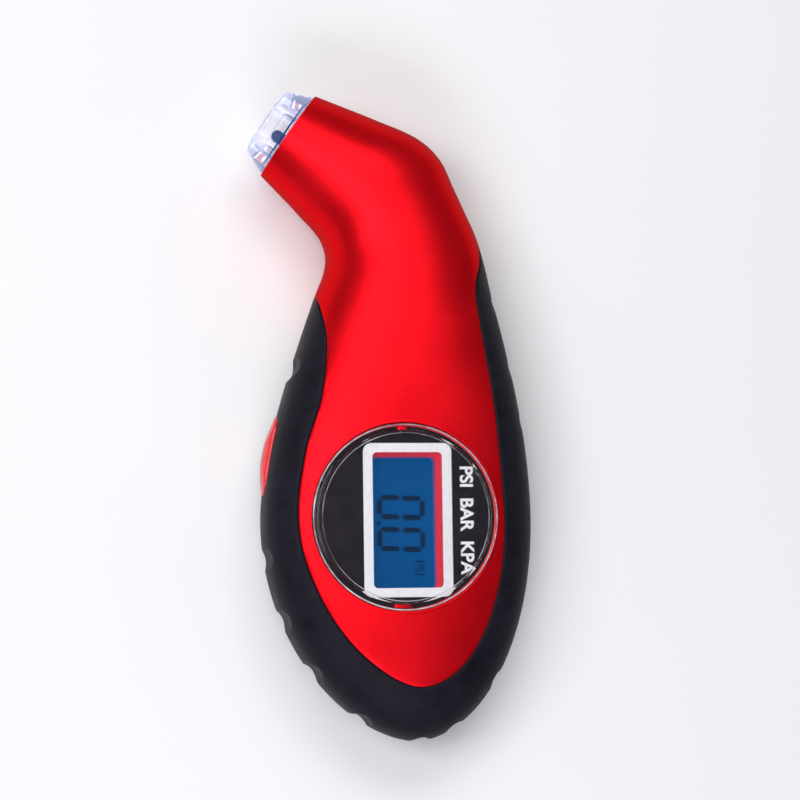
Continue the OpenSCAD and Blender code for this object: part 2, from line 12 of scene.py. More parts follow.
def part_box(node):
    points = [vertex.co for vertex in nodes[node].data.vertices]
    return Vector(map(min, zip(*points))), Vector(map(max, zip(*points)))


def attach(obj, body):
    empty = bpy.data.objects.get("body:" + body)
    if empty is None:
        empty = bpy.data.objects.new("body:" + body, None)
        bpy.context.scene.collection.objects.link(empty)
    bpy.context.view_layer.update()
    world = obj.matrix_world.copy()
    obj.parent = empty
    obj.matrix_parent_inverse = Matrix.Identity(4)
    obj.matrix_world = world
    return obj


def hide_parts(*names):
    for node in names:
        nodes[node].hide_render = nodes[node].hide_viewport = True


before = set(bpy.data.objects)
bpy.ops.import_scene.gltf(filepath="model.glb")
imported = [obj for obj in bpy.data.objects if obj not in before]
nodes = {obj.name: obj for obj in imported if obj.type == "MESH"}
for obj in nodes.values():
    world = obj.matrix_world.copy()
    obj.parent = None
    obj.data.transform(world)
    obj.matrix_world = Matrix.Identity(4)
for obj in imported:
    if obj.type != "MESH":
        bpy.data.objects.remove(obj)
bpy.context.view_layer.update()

MM = 0.001


def span(node):
    """Lowest and highest corner of a CAD node, in millimetres."""
    low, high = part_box(node)
    return np.array(low) / MM, np.array(high) / MM


# ---------------------------------------------------------------- dimensions

BODY_LENGTH = 129.0
HALF_W = 27.2
FRONT_H = 15.0
PART_Z = 13.0
WALL = 2.2
GRIP_T = 2.0
HEAD_ANGLE = math.radians(145.3)
HEAD_X, HEAD_Y = -0.776 * HALF_W, 0.612 * BODY_LENGTH
TAIL_L = 0.344 * BODY_LENGTH
TAIL_LEAN = 0.121 * HALF_W

LENS_R = 18.5
LENS_TOP = span("display_lens")[1][2]
LENS_LOW = span("display_lens")[0][2]
LABEL_R = span("face_label")[1][0]
STEP_R = 16.45
LABEL_TOP = span("face_label")[1][2]
POCKET_Z = LABEL_TOP - 0.27
LCD_TOP = span("lcd_front_glass")[1][2]
WINDOW = (0.6, -0.55)
WINDOW_W, WINDOW_L = 13.9, 26.8

SECTIONS = np.array([
    [-0.983, 0.549, -0.569, 0.675, 0.660, 0.762, 2.00],
    [-0.868, 0.524, -0.129, 0.639, 0.753, 0.862, 2.05],
    [-0.779, 0.505, 0.199, 0.609, 0.813, 0.923, 2.10],
    [-0.691, 0.485, 0.375, 0.574, 0.840, 0.946, 2.15],
    [-0.596, 0.464, 0.478, 0.527, 0.847, 0.954, 2.20],
    [-0.533, 0.445, 0.559, 0.488, 0.853, 0.962, 2.25],
    [-0.500, 0.420, 0.640, 0.448, 0.860, 0.969, 2.30],
    [-0.518, 0.391, 0.699, 0.403, 0.873, 0.977, 2.40],
    [-0.588, 0.353, 0.746, 0.355, 0.900, 0.992, 2.50],
    [-0.710, 0.278, 0.827, 0.279, 0.947, 1.015, 2.80],
    [-0.842, 0.190, 0.912, 0.190, 0.987, 1.038, 3.10],
    [-0.945, 0.101, 0.974, 0.101, 1.000, 1.046, 3.30],
    [-1.000, 0.000, 1.000, 0.000, 1.000, 1.046, 3.40],
    [-0.943, -0.104, 0.965, -0.104, 1.000, 1.046, 3.40],
])
WIDEST, TURN = 12, 6
LAST = 2 * WIDEST + TURN
GRIP_FIRST = 8
GRIP_EDGE = np.array([
    1, 0.795, 0.72, 0.767, 0.78, 0.742, 0.735, 0.755, 0.76,
    0.748, 0.737, 0.722, 0.722, 0.714, 0.734, 0.88, 1,
])
GRIP_LAST = GRIP_FIRST + len(GRIP_EDGE) - 1
NOTCH_AT = [9.4, 12.32, 12.86, 13.41, 14.1, 15.07, 15.7, 16.5, 19.6, 20.57, 21.86]
NOTCH_R, NOTCH_DEPTH = 3.4, 0.9


def spline(rows, t):
    """Smooth curve through the rows, at row number t."""
    i = int(min(math.floor(t), len(rows) - 2))
    f = t - i
    a, b = rows[max(i - 1, 0)], rows[i]
    c, d = rows[i + 1], rows[min(i + 2, len(rows) - 1)]
    return 0.5 * (2 * b + (c - a) * f + (2 * a - 5 * b + 4 * c - d) * f * f
                  + (3 * b - a - 3 * c + d) * f ** 3)


def station_ray(s, right):
    """Ray of one cross section, towards its left or right end."""
    left = np.array([s[0] * HALF_W, s[1] * BODY_LENGTH])
    other = np.array([s[2] * HALF_W, s[3] * BODY_LENGTH])
    return (left + other) / 2, other if right else left, s[4] * FRONT_H, s[5] * PART_Z, s[6]


def ray(q):
    """Spine point, outline point, front and back height and squareness."""
    if q <= WIDEST:
        return station_ray(spline(SECTIONS, q), False)
    if q >= WIDEST + TURN:
        return station_ray(spline(SECTIONS, LAST - q), True)
    a = math.radians((q - WIDEST) * 180 / TURN)
    c, s = math.cos(a), math.sin(a)
    tip = np.array([TAIL_LEAN * s * s - HALF_W * math.copysign(abs(c) ** 1.12, c), -TAIL_L * s])
    return np.zeros(2), tip, FRONT_H, 1.046 * PART_Z, 3.4


def grip_share(q):
    """Share of the way from spine to outline at which the grip begins."""
    if q <= GRIP_FIRST or q >= GRIP_LAST:
        return 1.0
    return min(float(spline(GRIP_EDGE, q - GRIP_FIRST)), 1.0)


def skin(r, t, depth, side):
    """Points of the skin of ray r for arrays of section angles and depths."""
    m, p, front, back, n = r
    v = p - m
    length = np.linalg.norm(v)
    share = np.sin(t) ** (2 / n)
    xy = m[None, :] + v[None, :] * ((1 - depth / length) * share)[:, None]
    h = (front if side > 0 else back) - depth
    z = PART_Z + side * h * np.maximum(np.cos(t), 0) ** (2 / n)
    if side < 0:
        z = np.maximum(z, depth)
    return np.column_stack([xy, z])


def even_angle(u):
    """Section angle for an even parameter, close together at both ends."""
    a, b = u ** 1.7, (1 - u) ** 1.7
    return (math.pi / 2) * a / (a + b)


PANEL_ANGLES = np.array([even_angle(u) for u in np.linspace(0, 1, 60)])


def angle_of(share, n):
    """Section angle at a share of the way from spine to outline."""
    return math.asin(min(max(share, 0), 1) ** (n / 2))


# ---------------------------------------------------------------- mesh tools

def build_mesh(name, verts_mm, faces, smooth_angle=40, merge=True):
    mesh = bpy.data.meshes.new(name)
    mesh.from_pydata([tuple(v) for v in np.asarray(verts_mm) * MM], [], faces)
    bm = bmesh.new()
    bm.from_mesh(mesh)
    if merge:
        bmesh.ops.remove_doubles(bm, verts=bm.verts, dist=1e-7)
    bmesh.ops.recalc_face_normals(bm, faces=bm.faces)
    limit = math.radians(smooth_angle)
    for f in bm.faces:
        f.smooth = True
    for e in bm.edges:
        if len(e.link_faces) == 2 and e.calc_face_angle(0) > limit:
            e.smooth = False
    bm.to_mesh(mesh)
    bm.free()
    obj = bpy.data.objects.new(name, mesh)
    bpy.context.scene.collection.objects.link(obj)
    return obj


def grid_faces(rows, cols, wrap_rows=False, wrap_cols=False):
    """Quads between the points of a grid, stored row by row."""
    out = []
    for i in range(rows if wrap_rows else rows - 1):
        i2 = (i + 1) % rows
        for j in range(cols if wrap_cols else cols - 1):
            j2 = (j + 1) % cols
            out.append((i * cols + j, i * cols + j2, i2 * cols + j2, i2 * cols + j))
    return out


def lathe(name, profile, segs=128, place=None, smooth_angle=35):
    """Solid of revolution about Z from (radius, height) points."""
    verts, prof = [], np.array(profile, float)
    for k in range(segs):
        a = 2 * math.pi * k / segs
        verts.append(np.column_stack([prof[:, 0] * math.cos(a), prof[:, 0] * math.sin(a), prof[:, 1]]))
    verts = np.vstack(verts)
    if place is not None:
        m = np.array(place)
        verts = verts @ m[:3, :3].T + m[:3, 3]
    return build_mesh(name, verts, grid_faces(segs, len(prof), wrap_rows=True), smooth_angle)


def rounded_loop(w, l, r, n=10, cx=0.0, cy=0.0):
    """Outline of a rectangle with round corners."""
    pts = []
    for k, (sx, sy) in enumerate([(1, 1), (-1, 1), (-1, -1), (1, -1)]):
        for i in range(n + 1):
            a = math.pi / 2 * (k + i / n)
            pts.append((cx + sx * (w / 2 - r) + r * math.cos(a), cy + sy * (l / 2 - r) + r * math.sin(a)))
    return np.array(pts)


def loft(name, loops, smooth_angle=35, ring=False):
    """Skin over a list of (outline, height) loops with the same point count."""
    n = len(loops[0][0])
    verts = np.vstack([np.column_stack([p, np.full(n, z) if np.isscalar(z) else z]) for p, z in loops])
    faces = grid_faces(len(loops), n, wrap_rows=ring, wrap_cols=True)
    if not ring:
        faces.append(tuple(range(n)))
        faces.append(tuple(range((len(loops) - 1) * n, len(loops) * n)))
    return build_mesh(name, verts, faces, smooth_angle, merge=False)


def cut(obj, cutter):
    """Takes the cutter out of the object, then removes the cutter."""
    mod = obj.modifiers.new("cut", "BOOLEAN")
    mod.operation = "DIFFERENCE"
    mod.solver = "EXACT"
    mod.object = cutter
    bpy.context.view_layer.update()
    depsgraph = bpy.context.evaluated_depsgraph_get()
    mesh = bpy.data.meshes.new_from_object(obj.evaluated_get(depsgraph))
    obj.modifiers.clear()
    obj.data = mesh
    bpy.data.objects.remove(cutter)


def sharpen(obj, angle=38):
    """Smooth shading, with edges steeper than the angle kept crisp."""
    bm = bmesh.new()
    bm.from_mesh(obj.data)
    limit = math.radians(angle)
    for f in bm.faces:
        f.smooth = True
    for e in bm.edges:
        e.smooth = not (len(e.link_faces) == 2 and e.calc_face_angle(0) > limit)
    bm.to_mesh(obj.data)
    bm.free()


def join(target, *others):
    """Adds the meshes of the others to the target."""
    bm = bmesh.new()
    bm.from_mesh(target.data)
    for o in others:
        bm.from_mesh(o.data)
        bpy.data.objects.remove(o)
    bm.to_mesh(target.data)
    bm.free()
    return target


# ---------------------------------------------------------------- materials

def new_material(name):
    mat = bpy.data.materials.new(name)
    mat.use_nodes = True
    tree = mat.node_tree
    tree.nodes.clear()
    out = tree.nodes.new("ShaderNodeOutputMaterial")
    shader = tree.nodes.new("ShaderNodeBsdfPrincipled")
    tree.links.new(shader.outputs[0], out.inputs[0])
    coord = tree.nodes.new("ShaderNodeTexCoord")
    return mat, tree, shader, coord


def noise(tree, coord, scale, detail=4.0, rough=0.6, stretch=None):
    tex = tree.nodes.new("ShaderNodeTexNoise")
    tex.inputs["Scale"].default_value = scale
    tex.inputs["Detail"].default_value = detail
    tex.inputs["Roughness"].default_value = rough
    source = coord.outputs["Object"]
    if stretch:
        mapping = tree.nodes.new("ShaderNodeMapping")
        mapping.inputs["Scale"].default_value = stretch
        tree.links.new(source, mapping.inputs["Vector"])
        source = mapping.outputs[0]
    tree.links.new(source, tex.inputs["Vector"])
    return tex


def ramp(tree, source, stops):
    node = tree.nodes.new("ShaderNodeValToRGB")
    els = node.color_ramp.elements
    while len(els) < len(stops):
        els.new(0.5)
    for el, (pos, col) in zip(els, stops):
        el.position = pos
        el.color = (*col, 1) if len(col) == 3 else col
    tree.links.new(source, node.inputs[0])
    return node


def grey(a):
    return (a, a, a)


def bump(tree, shader, sources):
    """Chain of bumps: (height output, strength, distance in metres)."""
    last = None
    for height, strength, distance in sources:
        node = tree.nodes.new("ShaderNodeBump")
        node.inputs["Strength"].default_value = strength
        node.inputs["Distance"].default_value = distance
        tree.links.new(height, node.inputs["Height"])
        if last:
            tree.links.new(last.outputs[0], node.inputs["Normal"])
        last = node
    tree.links.new(last.outputs[0], shader.inputs["Normal"])


def surface(name, dark, light, rough, scale=600, metal=0.0, grain=0.15, grain_size=2500, depth=2e-5,
            coat=0.0, coat_rough=0.1, spec=0.5, emission=None, stretch=None):
    """Procedural finish: mottled colour, uneven roughness and a fine grain, with an optional glow that is a
    real backlight on backlit parts and painted light on the window walls and nozzle shadow ring.
    """
    mat, tree, shader, coord = new_material(name)
    mottle = noise(tree, coord, scale, 5, 0.6, stretch)
    colour = ramp(tree, mottle.outputs[0], [(0.3, dark), (0.7, light)])
    tree.links.new(colour.outputs[0], shader.inputs["Base Color"])
    patch = noise(tree, coord, scale * 0.35, 3, 0.55, stretch)
    rr = ramp(tree, patch.outputs[0], [(0.3, grey(rough[0])), (0.7, grey(rough[1]))])
    tree.links.new(rr.outputs[0], shader.inputs["Roughness"])
    fine = noise(tree, coord, grain_size, 3, 0.6, stretch)
    bump(tree, shader, [(fine.outputs[0], grain, depth)])
    shader.inputs["Metallic"].default_value = metal
    shader.inputs["Specular IOR Level"].default_value = spec
    shader.inputs["Coat Weight"].default_value = coat
    shader.inputs["Coat Roughness"].default_value = coat_rough
    if emission:
        shader.inputs["Emission Color"].default_value = (*emission[0], 1)
        shader.inputs["Emission Strength"].default_value = emission[1]
    return mat


def red_paint(name, dark, light):
    """Satin red paint over fine metal flake, with a faint orange-peel surface."""
    mat, tree, shader, coord = new_material(name)
    flake = noise(tree, coord, 5200, 2, 0.7)
    cloud = noise(tree, coord, 55, 3, 0.5)
    mix = tree.nodes.new("ShaderNodeMix")
    mix.data_type = "FLOAT"
    mix.inputs[0].default_value = 0.35
    tree.links.new(flake.outputs[0], mix.inputs[2])
    tree.links.new(cloud.outputs[0], mix.inputs[3])
    colour = ramp(tree, mix.outputs[0], [(0.32, dark), (0.68, light)])
    tree.links.new(colour.outputs[0], shader.inputs["Base Color"])
    rr = ramp(tree, cloud.outputs[0], [(0.3, grey(0.36)), (0.7, grey(0.44))])
    tree.links.new(rr.outputs[0], shader.inputs["Roughness"])
    peel = noise(tree, coord, 700, 2, 0.4)
    bump(tree, shader, [(flake.outputs[0], 0.10, 8e-6), (peel.outputs[0], 0.05, 2e-5)])
    shader.inputs["Metallic"].default_value = 0.8
    shader.inputs["Specular IOR Level"].default_value = 0.15
    shader.inputs["Specular Tint"].default_value = (0.30, 0.02, 0.04, 1)
    return mat


def rubber(name, dark, light):
    """Matte rubber with a fine grain and pores."""
    mat, tree, shader, coord = new_material(name)
    dust = noise(tree, coord, 180, 5, 0.65)
    colour = ramp(tree, dust.outputs[0], [(0.3, dark), (0.75, light)])
    tree.links.new(colour.outputs[0], shader.inputs["Base Color"])
    rr = ramp(tree, dust.outputs[0], [(0.3, grey(0.5)), (0.7, grey(0.64))])
    tree.links.new(rr.outputs[0], shader.inputs["Roughness"])
    grain = noise(tree, coord, 4200, 3, 0.7)
    pores = tree.nodes.new("ShaderNodeTexVoronoi")
    pores.inputs["Scale"].default_value = 1500
    tree.links.new(coord.outputs["Object"], pores.inputs["Vector"])
    bump(tree, shader, [(grain.outputs[0], 0.25, 2e-5), (pores.outputs[0], 0.12, 2e-5)])
    shader.inputs["Specular IOR Level"].default_value = 0.13
    return mat


ACRYLIC_IOR = 1.49


def clear(name, tint, rough=0.02, through=(0.22, 1.0), painted_glow=None):
    """Clear moulded plastic: see-through where faced, glassy towards its edges, with an optional painted
    glow standing in for light inside it.
    """
    mat, tree, shader, coord = new_material(name)
    flow = noise(tree, coord, 120, 3, 0.5)
    colour = ramp(tree, flow.outputs[0], [(0.3, tint), (0.7, grey(0.99))])
    tree.links.new(colour.outputs[0], shader.inputs["Base Color"])
    rr = ramp(tree, flow.outputs[0], [(0.35, grey(rough)), (0.75, grey(rough * 2.5))])
    tree.links.new(rr.outputs[0], shader.inputs["Roughness"])
    ripple = noise(tree, coord, 260, 2, 0.4)
    bump(tree, shader, [(ripple.outputs[0], 0.04, 4e-5)])
    shader.inputs["Transmission Weight"].default_value = 1.0
    shader.inputs["IOR"].default_value = ACRYLIC_IOR
    if painted_glow:
        shader.inputs["Emission Color"].default_value = (*painted_glow[0], 1)
        shader.inputs["Emission Strength"].default_value = painted_glow[1]
    facing = tree.nodes.new("ShaderNodeLayerWeight")
    facing.inputs["Blend"].default_value = 0.35
    share = ramp(tree, facing.outputs["Facing"], [(0.04, grey(through[0])), (0.30, grey(through[1]))])
    clear_part = tree.nodes.new("ShaderNodeBsdfTransparent")
    blend = tree.nodes.new("ShaderNodeMixShader")
    tree.links.new(share.outputs[0], blend.inputs[0])
    tree.links.new(clear_part.outputs[0], blend.inputs[1])
    tree.links.new(shader.outputs[0], blend.inputs[2])
    out = next(n for n in tree.nodes if n.bl_idname == "ShaderNodeOutputMaterial")
    tree.links.new(blend.outputs[0], out.inputs[0])
    return mat


def glint(name):
    """Painted highlight for the lens rims: whitish glints painted in noise patches, clear between."""
    mat, tree, shader, coord = new_material(name)
    glint_patches = noise(tree, coord, 75, 4, 0.75)
    shade = ramp(tree, glint_patches.outputs[0], [(0.35, (0.55, 0.54, 0.58)), (0.65, (0.85, 0.85, 0.9))])
    tree.links.new(shade.outputs[0], shader.inputs["Base Color"])
    rough = ramp(tree, glint_patches.outputs[0], [(0.3, grey(0.15)), (0.7, grey(0.3))])
    tree.links.new(rough.outputs[0], shader.inputs["Roughness"])
    fine = noise(tree, coord, 1800, 2, 0.5)
    bump(tree, shader, [(fine.outputs[0], 0.2, 2e-5)])
    cover = ramp(tree, glint_patches.outputs[0], [(0.40, grey(0.12)), (0.62, grey(0.85))])
    clear_part = tree.nodes.new("ShaderNodeBsdfTransparent")
    blend = tree.nodes.new("ShaderNodeMixShader")
    tree.links.new(cover.outputs[0], blend.inputs[0])
    tree.links.new(clear_part.outputs[0], blend.inputs[1])
    tree.links.new(shader.outputs[0], blend.inputs[2])
    out = next(n for n in tree.nodes if n.bl_idname == "ShaderNodeOutputMaterial")
    tree.links.new(blend.outputs[0], out.inputs[0])
    return mat


RED = red_paint("red_paint", (0.66, 0.004, 0.009), (0.93, 0.009, 0.017))
# Red of the window walls with a painted glow, standing in for light that reaches them through the lens.
WALL_RED_PAINTED_GLOW = surface("window_wall_red_painted_glow", (0.76, 0.02, 0.03), (0.90, 0.04, 0.055), (0.4, 0.55), scale=700,
                   spec=0.3, emission=((0.9, 0.06, 0.08), 0.22))
RUBBER = rubber("grip_rubber", (0.005, 0.004, 0.008), (0.013, 0.011, 0.020))
LENS = clear("lens_acrylic", (0.955, 0.965, 0.98))
# The nozzle carries a painted pale blue glow for LED and studio light scattered inside the clear tip.
NOZZLE = clear("nozzle_acrylic_painted_glow", (0.90, 0.93, 1.0), rough=0.06, through=(0.07, 1.0),
               painted_glow=((0.66, 0.72, 1.0), 0.32))
LABEL = surface("label_film", (0.006, 0.004, 0.007), (0.014, 0.010, 0.017), (0.35, 0.48), scale=260,
                spec=0.15)
PRINT = surface("white_print", (0.78, 0.76, 0.80), (0.86, 0.85, 0.88), (0.3, 0.42), scale=900)
LCD = surface("lcd_backlit", (0.0, 0.028, 0.095), (0.0, 0.036, 0.12), (0.15, 0.25), scale=60, spec=0.15,
              emission=((0.0, 0.28, 0.95), 0.17))
SEGMENT = surface("lcd_segment", (0.0, 0.006, 0.02), (0.0, 0.009, 0.03), (0.3, 0.4), scale=1500, spec=0.1,
                  emission=((0.0, 0.28, 0.80), 0.04))
BUTTON = surface("button_plastic", (0.74, 0.010, 0.018), (0.92, 0.020, 0.032), (0.34, 0.46), scale=300,
                 coat=0.15, coat_rough=0.25)
BLACK_ABS = surface("black_moulding", (0.012, 0.012, 0.013), (0.028, 0.028, 0.03), (0.42, 0.58), scale=500,
                    grain=0.4, grain_size=3200, depth=4e-5)
WHITE_ABS = surface("white_moulding", (0.80, 0.80, 0.78), (0.90, 0.90, 0.89), (0.35, 0.5), scale=500)
STEEL = surface("zinc_plated_steel", (0.42, 0.42, 0.44), (0.62, 0.62, 0.63), (0.22, 0.38), scale=900,
                metal=1.0, stretch=(1, 1, 8))
CELL = surface("cell_can", (0.55, 0.55, 0.57), (0.70, 0.70, 0.71), (0.2, 0.32), scale=400, metal=1.0)
BRASS = surface("turned_brass", (0.62, 0.42, 0.14), (0.78, 0.58, 0.24), (0.2, 0.34), scale=900, metal=1.0)
ZINC = surface("die_cast", (0.45, 0.45, 0.46), (0.62, 0.62, 0.63), (0.35, 0.5), scale=700, metal=0.9)
BOARD = surface("solder_mask", (0.012, 0.10, 0.035), (0.03, 0.17, 0.07), (0.25, 0.4), scale=350)
CERAMIC = surface("ceramic_parts", (0.22, 0.15, 0.09), (0.42, 0.31, 0.2), (0.4, 0.55), scale=1500)
CREAM = surface("connector_nylon", (0.72, 0.68, 0.56), (0.84, 0.81, 0.70), (0.4, 0.55), scale=600)
DARK_RUBBER = surface("seal_rubber", (0.01, 0.01, 0.01), (0.025, 0.025, 0.026), (0.55, 0.7), scale=800,
                      grain=0.3)
ZEBRA = surface("zebra_rubber", (0.05, 0.05, 0.055), (0.30, 0.30, 0.31), (0.5, 0.65), scale=4000,
                stretch=(0.05, 1, 0.05))
GLOW = surface("backlight_diffuser", (0.35, 0.55, 0.9), (0.5, 0.7, 0.95), (0.4, 0.6), scale=300,
               emission=((0.1, 0.35, 0.9), 0.6))
GLASS = clear("lcd_glass", (0.75, 0.88, 0.97), rough=0.05)
# Painted highlights for the lines round the lens.
PAINTED_GLINT = glint("painted_rim_glint")
LED = surface("led_epoxy", (0.0, 0.004, 0.03), (0.0, 0.015, 0.08), (0.2, 0.3), scale=500, spec=0.12,
              emission=((0.0, 0.09, 0.42), 0.20))
# Dark blue painted shadow with a painted blue glow, for the dark line at the nozzle base.
NOZZLE_PAINTED_SHADOW = surface("nozzle_painted_shadow_and_glow", (0.0, 0.012, 0.07), (0.0, 0.03, 0.12), (0.3, 0.45), scale=420,
                    spec=0.12, emission=((0.0, 0.06, 0.32), 0.2))
WIRE_RED = surface("wire_red", (0.45, 0.02, 0.015), (0.6, 0.04, 0.03), (0.4, 0.55), scale=900)
WIRE_YELLOW = surface("wire_yellow", (0.62, 0.5, 0.05), (0.78, 0.66, 0.1), (0.4, 0.55), scale=900)


def finish_piece(obj, mat, body="body", stands_for=()):
    obj.data.materials.clear()
    obj.data.materials.append(mat)
    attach(obj, body)
    if stands_for:
        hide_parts(*stands_for)
    return obj


# ---------------------------------------------------------------- housings

SIDE_STEPS = 14
FAN_STEPS = 84
INSIDE_COLS = 12


def all_rays():
    """Places round the edge: down one side, round the tail, up the other."""
    side = np.arange(0, WIDEST * SIDE_STEPS + 1) / SIDE_STEPS
    fan = WIDEST + TURN * np.arange(1, FAN_STEPS) / FAN_STEPS
    return np.concatenate([side, fan, WIDEST + TURN + side])


def housing_profile(q, side):
    """Section of a housing half: panel, rounded seam edge, step, inside."""
    r = ray(q)
    n, reach = r[4], np.linalg.norm(r[1] - r[0])
    height = r[2] if side > 0 else r[3]
    edge = grip_share(q)
    step = GRIP_T * min(1.0, (1 - edge) / 0.05)
    fade = min(1.0, (1 - edge) * reach / 1.0)
    seam_angle = math.acos((0.16 / height) ** (n / 2))
    top = min(angle_of(edge - 0.30 * fade / reach, n), seam_angle)
    t = list(np.minimum(PANEL_ANGLES, top))
    d = [0.0] * len(t)
    for back, drop in ((0.14, 0.05), (0.05, 0.15), (0.0, 0.32)):
        t.append(max(min(angle_of(edge - back * fade / reach, n), math.pi / 2), top))
        d.append(drop * fade if fade > 0 else drop * 0.5)
    edge_t = max(angle_of(edge, n), top)
    for k in range(6):
        t.append(edge_t + (math.pi / 2 - edge_t) * k / 5)
        d.append(max(step, 0.18))
    by_nozzle = max(0.0, 1 - min(q, LAST - q) / 1.6)
    for k in range(INSIDE_COLS):
        t.append(math.pi / 2 * (1 - k / (INSIDE_COLS - 1)))
        d.append(WALL + step - 0.65 * by_nozzle)
    return skin(r, np.array(t), np.array(d), side)


def housing(name, side):
    """One housing half: its skin, its inside and the wall at the nozzle end."""
    rows = [housing_profile(q, side) for q in all_rays()]
    cols = len(rows[0])
    faces = grid_faces(len(rows), cols)
    outer = cols - INSIDE_COLS
    for i in (0, len(rows) - 1):
        inside = [(i + 1) * cols - 1 - int(round(k * (INSIDE_COLS - 1) / (outer - 1))) for k in range(outer)]
        for j in range(outer - 1):
            quad = [i * cols + j, i * cols + j + 1, inside[j + 1], inside[j]]
            quad = [v for k, v in enumerate(quad) if v not in quad[:k]]
            faces.append(tuple(quad))
    return build_mesh(name, np.vstack(rows), [f for f in faces if len(set(f)) > 2])


def nozzle_matrix():
    return (Matrix.Translation((HEAD_X, HEAD_Y, PART_Z)) @ Matrix.Rotation(HEAD_ANGLE, 4, "Z")
            @ Matrix.Rotation(math.radians(90), 4, "Y"))


NOZZLE_AT = nozzle_matrix()


def cylinder_cutter(name, r, z0, z1, x=0.0, y=0.0, segs=160):
    profile = [(0, z0), (r, z0), (r, z1), (0, z1)]
    return lathe(name, profile, segs, Matrix.Translation((x, y, 0)))


BUTTON_LEAN = math.radians(10)
BUTTON_X, BUTTON_Y = -0.945 * HALF_W, 0.101 * BODY_LENGTH
BUTTON_L, BUTTON_W, BUTTON_OUT = 16.0, 7.4, 1.3
BUTTON_AT = (Matrix.Translation((BUTTON_X, BUTTON_Y, PART_Z)) @ Matrix.Rotation(-BUTTON_LEAN, 4, "Z")
             @ Matrix.Rotation(math.radians(90), 4, "Y"))


def button_cutter():
    """Slot for the push button, through the side of the handle."""
    loop = rounded_loop(BUTTON_W + 0.6, BUTTON_L + 0.6, (BUTTON_W + 0.6) / 2 - 0.01, 16)
    obj = loft("button_cutter", [(loop, -8.0), (loop, 6.0)])
    obj.data.transform(Matrix.Scale(MM, 4).inverted())
    obj.data.transform(BUTTON_AT)
    obj.data.transform(Matrix.Scale(MM, 4))
    return obj


front = housing("front_shell", 1)
bm = bmesh.new()
bm.from_mesh(front.data)
skin_tree = BVHTree.FromBMesh(bm)
bm.free()


def skin_height(x, y):
    hit = skin_tree.ray_cast(Vector((x * MM, y * MM, 0.1)), Vector((0, 0, -1)))
    return hit[0].z / MM


cut(front, cylinder_cutter("lens_cutter", LENS_R + 0.6, POCKET_Z - 3, 40))
cut(front, button_cutter())
sharpen(front)


def lens_collar():
    """Wall and softened edge of the lens pocket, level with the housing."""
    segs = 240
    verts = []
    for k in range(segs):
        a = 2 * math.pi * k / segs
        c, s = math.cos(a), math.sin(a)
        edge = skin_height((LENS_R + 0.2) * c, (LENS_R + 0.2) * s)
        rim = skin_height((LENS_R + 0.62) * c, (LENS_R + 0.62) * s)
        profile = [
            (LENS_R + 0.75, POCKET_Z - 0.2), (LENS_R + 0.06, POCKET_Z - 0.2), (LENS_R + 0.06, edge - 0.22),
            (LENS_R + 0.09, edge - 0.09), (LENS_R + 0.18, edge - 0.01),
            (LENS_R + 0.3, (edge + rim) / 2 + 0.012),
            (LENS_R + 0.62, rim + 0.008), (LENS_R + 0.75, rim - 0.12),
        ]
        verts += [(r * c, r * s, z) for r, z in profile]
    return build_mesh("lens_collar", verts, grid_faces(segs, 8, wrap_rows=True, wrap_cols=True), 50)


def arc_points(hole, count, radius):
    """Points on the hole and on a rim at even angles round the origin."""
    closed = np.vstack([hole, hole[:1]])
    seg = closed[1:] - closed[:-1]
    inner, outer = [], []
    for k in range(count):
        a = 2 * math.pi * k / count
        d = np.array([math.cos(a), math.sin(a)])
        best = 0.0
        for p, s in zip(closed[:-1], seg):
            den = d[0] * s[1] - d[1] * s[0]
            if abs(den) < 1e-9:
                continue
            u = (p[0] * s[1] - p[1] * s[0]) / den
            w = (p[0] * d[1] - p[1] * d[0]) / den
            if u > 0 and -1e-9 <= w <= 1 + 1e-9:
                best = max(best, u)
        inner.append(d * best)
        outer.append(d * radius)
    return np.array(inner), np.array(outer)


def window_floor():
    """Floor of the lens pocket with the sloping walls of the display window."""
    cx, cy = WINDOW
    top, rim = arc_points(rounded_loop(WINDOW_W + 0.1, WINDOW_L + 0.1, 1.0, 12, cx, cy), 240, LENS_R + 0.5)
    shift = np.array([-0.42, -0.42])
    foot = top * np.array([0.955, 0.975]) + shift
    loops = [(rim, POCKET_Z), (top, POCKET_Z), (foot, LCD_TOP + 0.06), (rim, LCD_TOP + 1.2)]
    return loft("window_floor", loops, ring=True, smooth_angle=40)


finish_piece(join(front, lens_collar()), RED, stands_for=["front_housing"])
# The window walls carry a painted glow for light coming through the lens.
finish_piece(window_floor(), WALL_RED_PAINTED_GLOW)

